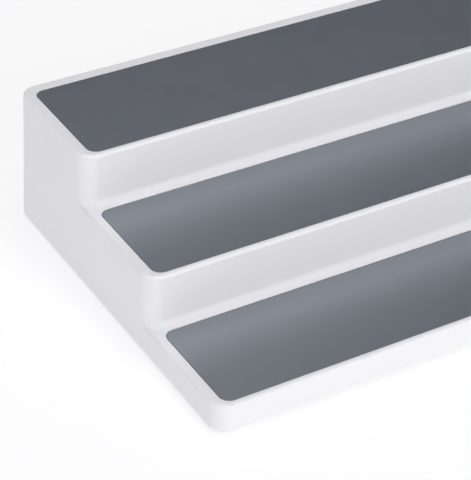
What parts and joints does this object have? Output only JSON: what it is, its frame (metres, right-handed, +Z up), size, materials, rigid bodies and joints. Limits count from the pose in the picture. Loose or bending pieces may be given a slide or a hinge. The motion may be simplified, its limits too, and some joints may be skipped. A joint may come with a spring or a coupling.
{
  "type": "tiered shelf riser",
  "caption": "Stepped shelf riser: a hollow white moulded shell with three treads, a grey grip mat set flush in each tread, and rubber feet plugged into corner posts.",
  "frame": {"origin": "on the floor under the middle of the shell's footprint", "axes": "+X along the treads, +Y from the lowest tread to the tall back wall, +Z up"},
  "size_m": [0.38, 0.225, 0.0816],
  "materials": {
    "white_shell": "satin moulded polypropylene",
    "grey_mat": "satin thermoplastic rubber",
    "foot_rubber": "matt moulded rubber"
  },
  "bodies": {
    "root": {"riser_shell": "white_shell", "lower_mat": "grey_mat", "middle_mat": "grey_mat", "top_mat": "grey_mat", "foot_front_left": "foot_rubber", "foot_front_right": "foot_rubber", "foot_back_left": "foot_rubber", "foot_back_right": "foot_rubber"}
  },
  "joints": []
}
